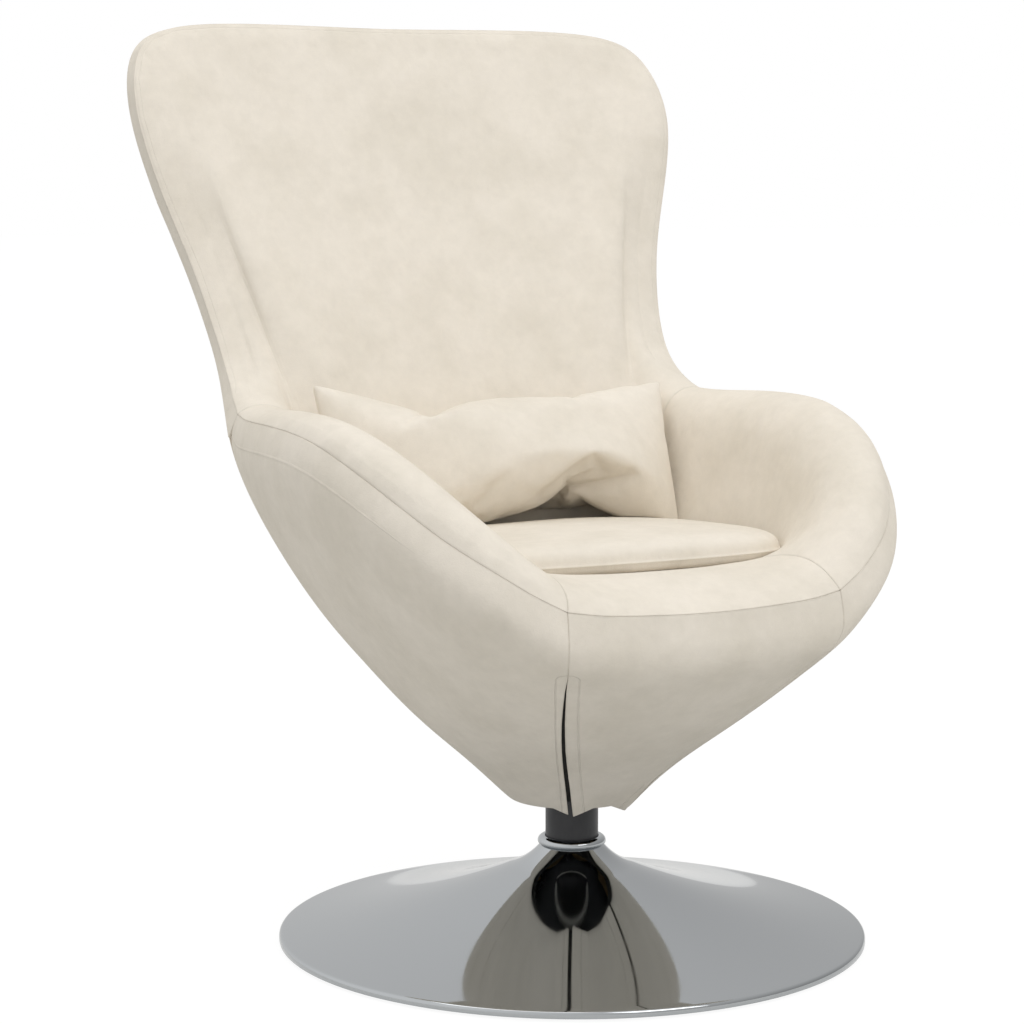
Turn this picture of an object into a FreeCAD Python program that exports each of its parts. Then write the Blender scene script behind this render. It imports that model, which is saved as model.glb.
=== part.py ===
import FreeCAD, Part
import math
import os
import re
import Sketcher

# A swivel pod chair: a spun trumpet foot and a black column carry one upholstered pod,
# with a loose seat cushion and a loose lumbar pillow in it.
# Frame: origin on the floor on the column's axis, +Z up, the sitter faces -Y.

V = FreeCAD.Vector
doc = FreeCAD.newDocument("PodChair")
sheet = doc.addObject("Spreadsheet::Sheet", "Size")

# Driving dimensions in millimetres, angles in degrees.
SIZES = (
    # Foot
    ("foot_radius", 300.0),
    ("floor_pad_margin", 34.0),
    ("floor_pad_height", 3.0),
    ("ballast_margin", 30.0),
    ("ballast_thickness", 8.0),
    ("foot_edge_height", 10.0),
    ("foot_edge_bend", 3.5),
    ("foot_sheet", 2.0),
    ("flare_radius", 66.0),
    ("flare_height", 73.0),
    ("flare_bend", 911.0),
    ("neck_radius", 31.5),
    ("neck_height", 98.0),
    ("neck_bend", 75.0),
    ("collar_radius", 35.0),
    ("collar_height", 8.0),
    # Column and its bearings
    ("column_radius", 27.0),
    ("column_wall", 2.5),
    ("column_height", 180.0),
    ("sleeve_foot_height", 60.0),
    ("sleeve_flange", 3.0),
    ("sleeve_flange_radius", 30.0),
    ("spindle_radius", 15.0),
    ("spindle_tail", 8.0),
    ("clip_thickness", 1.5),
    ("clip_width", 4.0),
    ("clip_mouth", 60.0),
    ("groove_depth", 1.2),
    ("running_gap", 0.04),
    ("fit_gap", 0.05),
    # Swivel plate and its fixings
    ("plate_width", 116.0),
    ("plate_thickness", 6.0),
    ("plate_screw_inset", 14.0),
    ("plate_screw_radius", 3.0),
    ("plate_screw_length", 20.0),
    ("plate_screw_head_radius", 6.5),
    ("plate_screw_head_height", 4.0),
    ("screw_clearance", 0.5),
    # Pod
    ("base_board_thickness", 18.0),
    ("hem_height", 147.0),
    ("hem_radius", 66.0),
    ("hem_fold", 6.0),
    ("cover_thickness", 2.5),
    ("shell_thickness", 8.0),
    ("layer_gap", 0.3),
    ("seam_gap", 0.4),
    ("slit_height", 318.0),
    ("slit_width", 5.0),
    ("seat_board_height", 300.0),
    ("seat_board_thickness", 15.0),
    ("board_clearance", 0.6),
    ("deck_front_height", 396.0),
    ("deck_tilt", 3.0),
    ("deck_half_width", 196.0),
    ("deck_front_reach", 160.0),
    ("deck_rear_reach", 178.0),
    ("deck_foot_inset", 20.0),
    # Seat cushion
    ("cushion_half_width", 190.0),
    ("cushion_front", 152.0),
    ("cushion_rear", 158.0),
    ("cushion_edge", 24.0),
    ("cushion_crown", 14.0),
    ("cushion_rest_gap", 0.4),
    # Lumbar pillow
    ("pillow_half_width", 194.0),
    ("pillow_height", 160.0),
    ("pillow_thickness", 108.0),
    ("pillow_edge", 24.0),
    ("pillow_draw_in", 10.0),
    ("pillow_corner_draw", 12.0),
    ("pillow_lean", 25.0),
    ("pillow_foot", 118.0),
    ("pillow_rest_gap", 0.6),
)
for row, (alias, number) in enumerate(SIZES, 1):
    sheet.set("A%d" % row, alias)
    sheet.set("B%d" % row, str(number))
    sheet.setAlias("B%d" % row, alias)
doc.recompute()


def size(alias):
    return getattr(sheet, alias)


# The rim line of the right-hand half, as a table of offsets from the front centre round to the top.
# Each row: name, side, rear, up, angle of its foot on the hem,
# crest of the roll inward and up, lip inward and up, edge of the outer cover outward, down and back.
RIM_COLUMNS = ("side", "rear", "up", "foot_angle", "crest_in", "crest_up", "lip_in", "lip_up",
               "edge_out", "edge_down", "edge_back")
RIM = (
    ("front_centre", 0, -273, 374, 0, 45, 19, 105, 26, 5, 26, 0),
    ("front_middle", 78, -270, 376, 15, 43, 19, 103, 25, 5, 26, 0),
    ("front_corner", 149, -260, 383, 30, 36, 24, 90, 24, 6, 26, 0),
    ("arm_foot", 207, -239, 418, 42, 26, 30, 76, 10, 9, 27, 0),
    ("arm_rise", 248, -199, 450, 53, 24, 31, 74, 0, 11, 27, 0),
    ("arm_shoulder", 284, -130, 494, 66, 26, 27, 74, -6, 13, 27, 0),
    ("arm_middle", 303, -25, 529, 84, 30, 20, 74, -12, 13, 27, 0),
    ("arm_rear", 300, 105, 533, 103, 33, 14, 74, -14, 12, 27, 0),
    ("notch", 282, 198, 534, 120, 30, 10, 66, -10, 8, 24, 6),
    ("waist", 267, 266, 578, 131, 9, 3, 48, 3, 2, 0, 18),
    ("wing_low", 282, 314, 676, 140, 9, 3, 48, 3, 1, 0, 20),
    ("wing_middle", 306, 339, 753, 147, 9, 3, 48, 3, 1, 0, 20),
    ("wing_high", 326, 360, 838, 153, 9, 3, 48, 3, 1, 0, 20),
    ("shoulder", 313, 394, 906, 159, 9, 3, 48, 3, 1, 0, 20),
    ("top_corner", 262, 412, 936, 165, 9, 3, 48, 3, 1, 0, 22),
    ("top_quarter", 140, 428, 941, 172, 9, 3, 48, 3, 1, 0, 24),
    ("top_centre", 0, 434, 939, 180, 9, 3, 48, 3, 1, 0, 24),
)
# The bowl below the arms, as level sections: height, half width, front reach, rear reach, squareness.
BOWL_COLUMNS = ("height", "half_width", "front_reach", "rear_reach", "squareness")
BOWL = (
    ("bowl_low", 196, 117, 119, 114, 2.0),
    ("bowl_middle", 247, 174, 192, 168, 2.2),
    ("bowl_high", 298, 209, 248, 213, 2.8),
)
first_row = len(SIZES) + 3
for table, columns in ((RIM, RIM_COLUMNS), (BOWL, BOWL_COLUMNS)):
    for row, entry in enumerate(table, first_row):
        sheet.set("A%d" % row, entry[0])
        for column, heading, number in zip("BCDEFGHIJKL", columns, entry[1:]):
            sheet.set("%s%d" % (column, row), str(number))
            sheet.setAlias("%s%d" % (column, row), "%s_%s" % (entry[0], heading))
    first_row += len(table) + 2
doc.recompute()

# Stations of the rim where the panels meet, and the last one.
FRONT_CORNER_INDEX = 2
NOTCH_INDEX = 8
TOP = len(RIM) - 1
# How full each flank is between the bowl and the rim, as the reach of its curve's handles.
FULLNESS = {"front": 0.40, "arm": 0.20, "notch": 0.24, "back": 0.28}
# Rows of the outside's net: evenly spaced levels from the hem's row and the shell's foot up to the
# seat board, then evenly spaced rows up to the cover's edge, then the rim.
LOWER_ROWS = 3
UPPER_ROWS = 6
FOOT_ROW = 1
BOARD_ROW = FOOT_ROW + LOWER_ROWS
EDGE_ROW = BOARD_ROW + UPPER_ROWS
SHELL_ROW = EDGE_ROW - 2
# Shares of the way from the rim down the inside where the net has points.
INSIDE_SHARES = (0, 0.03, 0.08, 0.15, 0.24, 0.35, 0.48, 0.62, 0.76, 0.88, 1)
BACK_PLANE = V(0, 0.93, -0.36).normalize()
REARWARD = V(0, 1, -0.1).normalize()
UP = V(0, 0, 1)
DECK_SQUARENESS = 3.0
# The ways in which the outside comes up to its edge, as rise on run at the back and as directions.
BACK_RISE = 0.12
NOTCH_RISE = V(0.1, 0.2, 1)
# The inside's fall from the lip to the deck: how far its curve's handles reach, as shares of the fall.
SINK_REACH = 0.36
HEEL_OUT = 0.12
HEEL_UP = 0.3


def zone(i):
    if i <= FRONT_CORNER_INDEX:
        return "front"
    if i < NOTCH_INDEX:
        return "arm"
    return "notch" if i == NOTCH_INDEX else "back"


def column(i, heading):
    return size("%s_%s" % (RIM[i][0], heading))


def rim_point(i):
    """The rim seam at station i; stations past either end are the mirrored ones."""
    if i < 0 or i > TOP:
        other = rim_point(-i if i < 0 else 2 * TOP - i)
        return V(-other.x, other.y, other.z)
    return V(column(i, "side"), column(i, "rear"), column(i, "up"))


def oval(angle, half_width, front, rear, squareness):
    """Point of a level superellipse at an angle from the front."""
    s = math.sin(math.radians(angle))
    c = math.cos(math.radians(angle))
    reach = front if c > 0 else rear
    radius = ((abs(s) / half_width) ** squareness + (abs(c) / reach) ** squareness) ** (-1 / squareness)
    return V(radius * s, -radius * c, 0)


def bezier(p0, p1, p2, p3, t):
    return (p0 * (1 - t) ** 3 + p1 * (3 * t * (1 - t) ** 2) + p2 * (3 * t * t * (1 - t)) + p3 * t ** 3)


def deck_height(y):
    return size("deck_front_height") - (y + size("deck_front_reach")) * math.tan(math.radians(size("deck_tilt")))


def station(i):
    """Outer meridian up to the cover's edge, and the inner one from the rim to the deck."""
    rim = rim_point(i)
    along = (rim_point(i + 1) - rim_point(i - 1)).normalize()
    if zone(i) == "back":
        inward = BACK_PLANE.cross(along).normalize()
        outward_lift = -BACK_PLANE
        middle = V(0, rim.y, size("wing_low_up"))
        if inward.dot(middle - rim) < 0:
            inward = -inward
        edge = rim + REARWARD * column(i, "edge_back") - inward * column(i, "edge_out")
    else:
        inward = V(-along.y, along.x, 0).normalize()
        outward_lift = UP
        if inward.dot(V(rim.x, rim.y, 0)) > 0:
            inward = -inward
        edge = rim - inward * column(i, "edge_out") - UP * column(i, "edge_down")
        edge += REARWARD * column(i, "edge_back")
    crest = rim + inward * column(i, "crest_in") + outward_lift * column(i, "crest_up")
    lip = rim + inward * column(i, "lip_in") + outward_lift * column(i, "lip_up")
    angle = column(i, "foot_angle")
    outer = [oval(angle, size("hem_radius"), size("hem_radius"), size("hem_radius"), 2)]
    outer[0].z = size("hem_height")
    for name in (entry[0] for entry in BOWL):
        ring = oval(angle, *(size("%s_%s" % (name, heading)) for heading in BOWL_COLUMNS[1:]))
        ring.z = size(name + "_height")
        outer.append(ring)
    start = outer[-1]
    leave = (outer[-1] - outer[-2]).normalize()
    span = (edge - start).Length
    if zone(i) == "back":
        arrive = ((edge - start).normalize() + UP * BACK_RISE).normalize()
    else:
        arrive = V(NOTCH_RISE).normalize() if i == NOTCH_INDEX else V(UP)
    reach = FULLNESS[zone(i)] * span
    for k in (1, 2, 3, 4):
        outer.append(bezier(start, start + leave * reach, edge - arrive * reach, edge, k / 5))
    outer.append(edge)
    deck = oval(angle, size("deck_half_width"), size("deck_front_reach"), size("deck_rear_reach"),
                DECK_SQUARENESS)
    away = V(deck).normalize()
    deck.z = deck_height(deck.y)
    fall = (lip - deck).Length
    if zone(i) == "back":
        sink = V(-0.1 * rim.x / 300, -0.4, -1).normalize()
        heel = deck + away * (HEEL_OUT * fall) + UP * (HEEL_UP * fall)
    elif zone(i) == "front":
        sink = (inward - UP * 0.05).normalize()
        heel = deck + away * (HEEL_UP * fall)
    else:
        sink = (inward * 0.25 - UP).normalize()
        heel = deck + away * (HEEL_OUT * fall) + UP * (HEEL_UP * fall)
    inner = [rim, crest, lip]
    for k in (1, 2, 3):
        inner.append(bezier(lip, lip + sink * (SINK_REACH * fall), heel, deck, k / 4))
    inner.append(deck)
    return outer, inner


def smooth(points):
    curve = Part.BSplineCurve()
    curve.interpolate(Points=points)
    return curve


def mirrored(points):
    return [V(-p.x, p.y, p.z) for p in points]


def at_share(curve, share):
    return curve.value(curve.parameterAtDistance(share * curve.length(), curve.FirstParameter))


def outside_rows(outer):
    """The rows of an outer meridian, from the hem up to the cover's edge."""
    curve = smooth(outer)
    foot = size("column_height") + size("sleeve_flange") + size("plate_thickness")
    lift = (size("seat_board_height") - foot) / LOWER_ROWS
    rows = [outer[0]]
    for k in range(LOWER_ROWS + 1):
        point = curve.intersect(Part.Plane(V(0, 0, foot + k * lift), UP))[0][0]
        rows.append(V(point.X, point.Y, foot + k * lift))
    start = curve.parameter(rows[-1])
    rest = curve.length(start, curve.LastParameter)
    for k in range(1, UPPER_ROWS + 1):
        rows.append(curve.value(curve.parameterAtDistance(rest * k / UPPER_ROWS, start)))
    return rows


def around(net, n):
    """Line n of a half net: lines before its first and past its last are the mirrored ones."""
    last = len(net) - 1
    if n > last:
        n -= 2 * last
    return net[n] if n >= 0 else mirrored(net[-n])


def refined(net):
    """The net with a line added midway between each two, on the curve through their neighbours."""
    fine = []
    for i in range(len(net) - 1):
        fine.append(net[i])
        lines = [around(net, i + k) for k in (-1, 0, 1, 2)]
        fine.append([(b * 9 + c * 9 - a - d) * (1 / 16) for a, b, c, d in zip(*lines)])
    return fine + [net[-1]]


STATIONS = [station(i) for i in range(TOP + 1)]
OUTSIDE = refined([outside_rows(outer) for outer, _ in STATIONS])
RIM_LINE = refined([[rim_point(i)] for i in range(TOP + 1)])
OUTSIDE = [line + rim for line, rim in zip(OUTSIDE, RIM_LINE)]
INSIDE = refined([[at_share(smooth(inner), share) for share in INSIDE_SHARES] for _, inner in STATIONS])
CORNER_LINE = 2 * FRONT_CORNER_INDEX
NOTCH_LINE = 2 * NOTCH_INDEX
ALL_LINES = 4 * TOP


def facing(n, k):
    """The way into the wall from the outside's net, between rows k and k + 1 of line n."""
    line, before, after = (around(OUTSIDE, n + side) for side in (0, -1, 1))
    rise = line[k + 1] - line[k]
    across = after[k] + after[k + 1] - before[k] - before[k + 1]
    return across.cross(rise).normalize() * -1


def layer(n, depth, rim_depth=None):
    """Line n moved into the wall by a depth, with its rows mitred so that layers stay parallel.

    Rows up to the seat board stay level. Those above the shell may have a depth of their own.
    """
    line = around(OUTSIDE, n)
    moved = []
    for k, point in enumerate(line):
        below = facing(n, max(k - 1, 0))
        above = facing(n, min(k, len(line) - 2))
        way = (below + above) * (1 / (1 + below.dot(above)))
        if k <= BOARD_ROW:
            flat = V(way.x, way.y, 0)
            way = flat * (way.dot(way) / flat.dot(flat))
        moved.append(point + way * (rim_depth if rim_depth is not None and k > SHELL_ROW else depth))
    return moved


def at_level(line, height):
    """The point of a line of rows at a height."""
    for low, high in zip(line, line[1:]):
        if low.z <= height <= high.z:
            return low + (high - low) * ((height - low.z) / (high.z - low.z))
    raise ValueError("no row reaches %s" % height)


def shortened(line, amount):
    """A line that stops short of its last point by an amount."""
    back = (line[-2] - line[-1]).normalize()
    return line[:-1] + [line[-1] + back * amount]


def faceted(points, triangles):
    """A closed solid of flat facets."""
    shape = Part.Shape()
    shape.makeShapeFromMesh((points, triangles), 0.001)
    solid = Part.Solid(Part.Shell(shape.Faces))
    if solid.Volume < 0:
        solid.reverse()
    return solid


def strip(a, b):
    """Triangles between two rows of points, which may differ in count."""
    triangles, i, j = [], 0, 0
    while i < len(a) - 1 or j < len(b) - 1:
        if j == len(b) - 1 or (i < len(a) - 1 and i * (len(b) - 1) <= j * (len(a) - 1)):
            triangles.append((a[i], a[i + 1], b[j]))
            i += 1
        else:
            triangles.append((a[i], b[j + 1], b[j]))
            j += 1
    return triangles


def panel(lines, outer, inner):
    """The solid between two skins over some of the pod's lines; one over all of them is a closed ring.

    outer and inner give a line's points, from the bottom up. Every layer cuts its quads along the
    same diagonals, mirrored on the left, so that parallel layers stay clear of each other.
    """
    closed = len(lines) > ALL_LINES - 1
    points, numbers = [], []
    for side in (outer, inner):
        rows = []
        for n in lines:
            line = side(n)
            rows.append(list(range(len(points), len(points) + len(line))))
            points += line
        numbers.append(rows + rows[:1] if closed else rows)
    triangles = []
    for turn, rows in zip((1, -1), numbers):
        for n, (left, right) in enumerate(zip(rows, rows[1:])):
            right_half = (lines[n % len(lines)] % ALL_LINES) < ALL_LINES // 2
            for k in range(len(left) - 1):
                a, b, c, d = left[k], right[k], right[k + 1], left[k + 1]
                pair = [(a, b, c), (a, c, d)] if right_half else [(a, b, d), (b, c, d)]
                triangles += [t[::turn] for t in pair]
    for k, turn in ((0, 1), (-1, -1)):
        for n in range(len(numbers[0]) - 1):
            a, b = numbers[0][n][k], numbers[1][n][k]
            c, d = numbers[1][n + 1][k], numbers[0][n + 1][k]
            triangles += [(a, b, c)[::turn], (a, c, d)[::turn]]
    if not closed:
        triangles += strip(numbers[0][0], numbers[1][0])
        triangles += [t[::-1] for t in strip(numbers[0][-1], numbers[1][-1])]
    return faceted(points, triangles)


def parted(lines, side, gap):
    """The same skin with its first and last lines moved apart from the neighbouring panels' ones."""
    def moved(n):
        line = side(n)
        if n not in (lines[0], lines[-1]):
            return line
        inner = side(lines[1] if n == lines[0] else lines[-2])
        return [point + (other - point).normalize() * gap(n, point) for point, other in zip(line, inner)]
    return moved


def board(outline, bottom, top):
    """A solid between two levels of an outline given by height."""
    low, high = outline(bottom), outline(top)
    count = len(low)
    points = low + high + [sum(ring, V(0, 0, 0)) * (1 / count) for ring in (low, high)]
    triangles = []
    for k in range(count):
        after = (k + 1) % count
        a, b, c, d = k, after, count + after, count + k
        sides = ((a, b, c), (a, c, d)) if k < count // 2 else ((a, b, d), (b, c, d))
        triangles += sides + ((b, a, 2 * count), (d, c, 2 * count + 1))
    return faceted(points, triangles)


PARTS = {}


def keep(label, shape, placement=None):
    """A part whose shape comes from the pod's own surfaces, or is made in its own frame and placed."""
    part = doc.addObject("Part::Feature", label)
    part.Label = label
    part.Shape = shape
    part.Placement = placement or FreeCAD.Placement()
    PARTS[label] = part


def turned(label, outline):
    """A body turned about the column's axis; each corner is (radius, height) in the sheet's names."""
    body = doc.addObject("PartDesign::Body", label)
    body.Label = label
    body.Placement = FreeCAD.Placement()
    sketch = body.newObject("Sketcher::SketchObject", label + "_profile")
    plane = next(f for f in body.Origin.OriginFeatures if f.Role == "XZ_Plane")
    sketch.AttachmentSupport = [(plane, "")]
    sketch.MapMode = "FlatFace"
    corners = [V(worth(radius), worth(height), 0) for radius, height in outline]
    for start, end in zip(corners, corners[1:] + corners[:1]):
        sketch.addGeometry(Part.LineSegment(start, end))
    for k, corner in enumerate(outline):
        sketch.addConstraint(Sketcher.Constraint("Coincident", k - 1 if k else len(outline) - 1, 2, k, 1))
        for way, name in zip(("DistanceX", "DistanceY"), corner):
            bound = sketch.addConstraint(Sketcher.Constraint(way, -1, 1, k, 1, worth(name)))
            sketch.setExpression("Constraints[%d]" % bound, named(name))
    turn = body.newObject("PartDesign::Revolution", label + "_turn")
    turn.Profile = sketch
    turn.ReferenceAxis = (sketch, ["V_Axis"])
    turn.Angle = 360
    PARTS[label] = body
    return body


def named(formula):
    """A formula in the sheet's names, as an expression for a property."""
    return re.sub(r"[a-z]\w+", lambda word: "Size." + word.group(), formula)


def worth(formula):
    return float(sheet.evalExpression(named(formula)))


# The foot's plates, drawn in from its rim.
FLOOR_PAD_RADIUS = "foot_radius - floor_pad_margin"
BALLAST_RADIUS = "foot_radius - ballast_margin"

# The levels of the swivel, from the floor up.
BALLAST_TOP = "floor_pad_height + ballast_thickness"
BORE = "column_radius - column_wall"
SLEEVE_BORE = "spindle_radius + running_gap"
PLATE_BOTTOM = "column_height + sleeve_flange"
PLATE_TOP = PLATE_BOTTOM + " + plate_thickness"
CLIP_TOP = "sleeve_foot_height - layer_gap"
CLIP_BOTTOM = CLIP_TOP + " - clip_thickness"
GROOVE = "spindle_radius - groove_depth"
SCREW_REACH = "plate_width / 2 - plate_screw_inset"
SCREWS = 4

turned("floor_pad", (
    ("0", "0"),
    (FLOOR_PAD_RADIUS, "0"),
    (FLOOR_PAD_RADIUS, "floor_pad_height"),
    ("0", "floor_pad_height"),
))
turned("ballast_plate", (
    ("0", "floor_pad_height"),
    (BALLAST_RADIUS, "floor_pad_height"),
    (BALLAST_RADIUS, BALLAST_TOP),
    ("0", BALLAST_TOP),
))
turned("column_tube", (
    (BORE, BALLAST_TOP),
    ("column_radius", BALLAST_TOP),
    ("column_radius", "column_height"),
    (BORE, "column_height"),
))
turned("collar_ring", (
    ("column_radius + fit_gap", "neck_height"),
    ("collar_radius", "neck_height"),
    ("collar_radius", "neck_height + collar_height"),
    ("column_radius + fit_gap", "neck_height + collar_height"),
))
turned("swivel_sleeve", (
    (SLEEVE_BORE, "sleeve_foot_height"),
    (BORE + " - fit_gap", "sleeve_foot_height"),
    (BORE + " - fit_gap", "column_height"),
    ("sleeve_flange_radius", "column_height"),
    ("sleeve_flange_radius", PLATE_BOTTOM),
    (SLEEVE_BORE, PLATE_BOTTOM),
))
turned("swivel_spindle", (
    ("0", CLIP_BOTTOM + " - spindle_tail"),
    ("spindle_radius", CLIP_BOTTOM + " - spindle_tail"),
    ("spindle_radius", CLIP_BOTTOM),
    (GROOVE, CLIP_BOTTOM),
    (GROOVE, CLIP_TOP),
    ("spindle_radius", CLIP_TOP),
    ("spindle_radius", PLATE_BOTTOM),
    ("0", PLATE_BOTTOM),
))


def bent(start, end, radius, runs):
    """The straight runs of an arc that leaves start and ends at end; a minus swells it the other way."""
    half = (end - start) * 0.5
    side = V(-half.y, half.x, 0).normalize() * math.copysign(1, radius)
    centre = start + half + side * math.sqrt(radius * radius - half.dot(half))
    arc = Part.Arc(start, centre - side * abs(radius), end)
    return arc.discretize(runs + 1)[1:]


FOOT_SIDES = 72


def trumpet_cover():
    """The spun cover of the foot: a trumpet from the neck down to a rounded rim, of one thickness."""
    sheet_thickness, bend = size("foot_sheet"), size("foot_edge_bend")

    def skin(depth, neck_runs, flare_runs):
        rim = size("foot_radius") - depth
        edge = V(size("foot_radius") - bend, size("foot_edge_height") - depth, 0)
        flare = V(size("flare_radius") - depth * 0.4, size("flare_height") - depth, 0)
        neck = V(size("neck_radius") - depth, size("neck_height"), 0)
        line = [V(rim, size("floor_pad_height"), 0), V(rim, size("foot_edge_height") - bend, 0)]
        line += bent(line[-1], edge, bend - depth, neck_runs)
        line += bent(line[-1], flare, -size("flare_bend") - depth, flare_runs)
        line += bent(line[-1], neck, -size("neck_bend") - depth, neck_runs)
        return line

    profile = skin(0, 2, 4) + skin(sheet_thickness, 1, 2)[::-1]
    points, triangles = [], []
    for k in range(FOOT_SIDES):
        turn = FreeCAD.Rotation(UP, 360 * k / FOOT_SIDES)
        points += [turn.multVec(V(corner.x, 0, corner.y)) for corner in profile]
    count = len(profile)
    for k in range(FOOT_SIDES):
        for n in range(count):
            a, d = k * count + n, k * count + (n + 1) % count
            b, c = (a + count) % len(points), (d + count) % len(points)
            triangles += ((a, b, c), (a, c, d))
    return faceted(points, triangles)


keep("trumpet_cover", trumpet_cover())


def retaining_clip():
    """An open spring ring in the spindle's groove."""
    thickness = size("clip_thickness")
    bore = size("spindle_radius") - size("groove_depth") + size("fit_gap")
    sweep = 360 - size("clip_mouth")
    ring = Part.makeCylinder(bore + size("clip_width"), thickness, V(0, 0, 0), UP, sweep)
    return ring.cut(Part.makeCylinder(bore, thickness))


keep("retaining_clip", retaining_clip(), FreeCAD.Placement(V(0, 0, worth(CLIP_BOTTOM)), FreeCAD.Rotation()))


def plate_sketch(name):
    """A sketch on the swivel plate's own level plane."""
    sketch = plate.newObject("Sketcher::SketchObject", name)
    sketch.AttachmentSupport = [(next(f for f in plate.Origin.OriginFeatures if f.Role == "XY_Plane"), "")]
    sketch.MapMode = "FlatFace"
    return sketch


def bind(sketch, kind, where, name):
    bound = sketch.addConstraint(Sketcher.Constraint(kind, *where, worth(name)))
    sketch.setExpression("Constraints[%d]" % bound, named(name))


plate = doc.addObject("PartDesign::Body", "mounting_plate")
plate.Label = "mounting_plate"
plate.Placement = FreeCAD.Placement(V(0, 0, worth(PLATE_BOTTOM)), FreeCAD.Rotation())
plate.setExpression("Placement.Base.z", named(PLATE_BOTTOM))
PARTS["mounting_plate"] = plate
square = plate_sketch("plate_outline")
corners = [V(x * worth("plate_width / 2"), y * worth("plate_width / 2"), 0)
           for x, y in ((-1, -1), (1, -1), (1, 1), (-1, 1))]
for k, corner in enumerate(corners):
    square.addGeometry(Part.LineSegment(corner, corners[(k + 1) % 4]))
for k, (x, y) in enumerate(((-1, -1), (1, -1), (1, 1), (-1, 1))):
    square.addConstraint(Sketcher.Constraint("Coincident", (k + 3) % 4, 2, k, 1))
    bind(square, "DistanceX", (-1, 1, k, 1), "plate_width / 2 * %d" % x)
    bind(square, "DistanceY", (-1, 1, k, 1), "plate_width / 2 * %d" % y)
pad_out = plate.newObject("PartDesign::Pad", "plate_body")
pad_out.Profile = square
pad_out.setExpression("Length", named("plate_thickness"))
doc.recompute()
solid_plate = plate.Shape.Volume
hole = plate_sketch("plate_hole")
hole.addGeometry(Part.Circle(V(worth(SCREW_REACH), worth(SCREW_REACH), 0), UP, worth("plate_screw_radius")))
bind(hole, "DistanceX", (-1, 1, 0, 3), SCREW_REACH)
bind(hole, "DistanceY", (-1, 1, 0, 3), SCREW_REACH)
bind(hole, "Radius", (0,), "plate_screw_radius + screw_clearance")
cut = plate.newObject("PartDesign::Pocket", "plate_hole_cut")
cut.Profile = hole
cut.Type = "ThroughAll"
cut.Midplane = True
holes = plate.newObject("PartDesign::PolarPattern", "plate_holes")
holes.Originals = [cut]
holes.Axis = (hole, ["N_Axis"])
holes.Angle = 360
holes.Occurrences = SCREWS
plate.Tip = holes


def round_the_screws(shape):
    """Copies of a shape made at the first screw, one at each corner of the plate."""
    copies = []
    for k in range(SCREWS):
        copy = shape.copy()
        copy.rotate(V(0, 0, 0), UP, 360 * k / SCREWS)
        copies.append(copy)
    return Part.makeCompound(copies)


def plate_screw():
    """A hexagon-head screw up through the plate into the base board."""
    at = V(worth(SCREW_REACH), worth(SCREW_REACH), worth(PLATE_BOTTOM))
    corners = [at + FreeCAD.Rotation(UP, 60 * k).multVec(V(size("plate_screw_head_radius"), 0, 0))
               for k in range(6)]
    head = Part.Face(Part.makePolygon(corners + corners[:1])).extrude(-UP * size("plate_screw_head_height"))
    return head.fuse(Part.makeCylinder(size("plate_screw_radius"), size("plate_screw_length"), at))


keep("plate_screws", round_the_screws(plate_screw()))

COVER = size("cover_thickness")
SHELL_OUT = COVER + size("layer_gap")
SHELL_IN = SHELL_OUT + size("shell_thickness")
PAD_OUT = SHELL_IN + size("layer_gap")
ROUND = list(range(ALL_LINES))
BOARD_TOP = size("seat_board_height")


def inside_shell(height):
    return [at_level(layer(n, PAD_OUT + size("board_clearance")), height) for n in ROUND]


base_top = worth(PLATE_TOP) + size("base_board_thickness")
base_board = board(inside_shell, worth(PLATE_TOP), base_top)
well = Part.makeCylinder(size("plate_screw_radius") + size("fit_gap"), size("plate_screw_length"),
                         V(worth(SCREW_REACH), worth(SCREW_REACH), worth(PLATE_BOTTOM)))
keep("base_board", base_board.cut(round_the_screws(well)))
keep("seat_board", board(inside_shell, BOARD_TOP - size("seat_board_thickness"), BOARD_TOP))


def shell_skin(n, depth):
    """A skin of the moulded shell, from a little above the covers' hem to two rows below their edge."""
    line = layer(n, depth)
    return [at_level(line, size("hem_height") + size("hem_fold"))] + line[FOOT_ROW:SHELL_ROW + 1]


keep("pod_shell", panel(ROUND, lambda n: shell_skin(n, SHELL_OUT), lambda n: shell_skin(n, SHELL_IN)))


def seam(n, point):
    return size("seam_gap") / 2


def cover_seam(n, point):
    """Half the gap between two cover panels: a seam, but an open slit low down at the front corners."""
    if abs(n) != CORNER_LINE or point.z > size("slit_height"):
        return size("seam_gap") / 2
    open_share = 1 - ((point.z - size("hem_height")) / (size("slit_height") - size("hem_height"))) ** 4
    return (size("seam_gap") + (size("slit_width") - size("seam_gap")) * open_share) / 2


def cover(label, first, last):
    lines = list(range(first, last + 1))
    if first == NOTCH_LINE:
        stop, gap = EDGE_ROW, COVER + size("seam_gap")
    else:
        stop, gap = EDGE_ROW + 1, size("seam_gap")
    sides = [parted(lines, lambda n, depth=depth: shortened(layer(n, depth)[:stop + 1], gap), cover_seam)
             for depth in (0, COVER)]
    keep(label, panel(lines, *sides))


def deck_corner(n, inset, height=None):
    """A corner of the seat deck's outline moved in towards its middle, at a height or on the deck."""
    corner = around(INSIDE, n)[-1]
    flat = V(corner.x, corner.y, 0)
    flat -= V(flat).normalize() * inset
    return V(flat.x, flat.y, deck_height(flat.y) if height is None else height)


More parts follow.
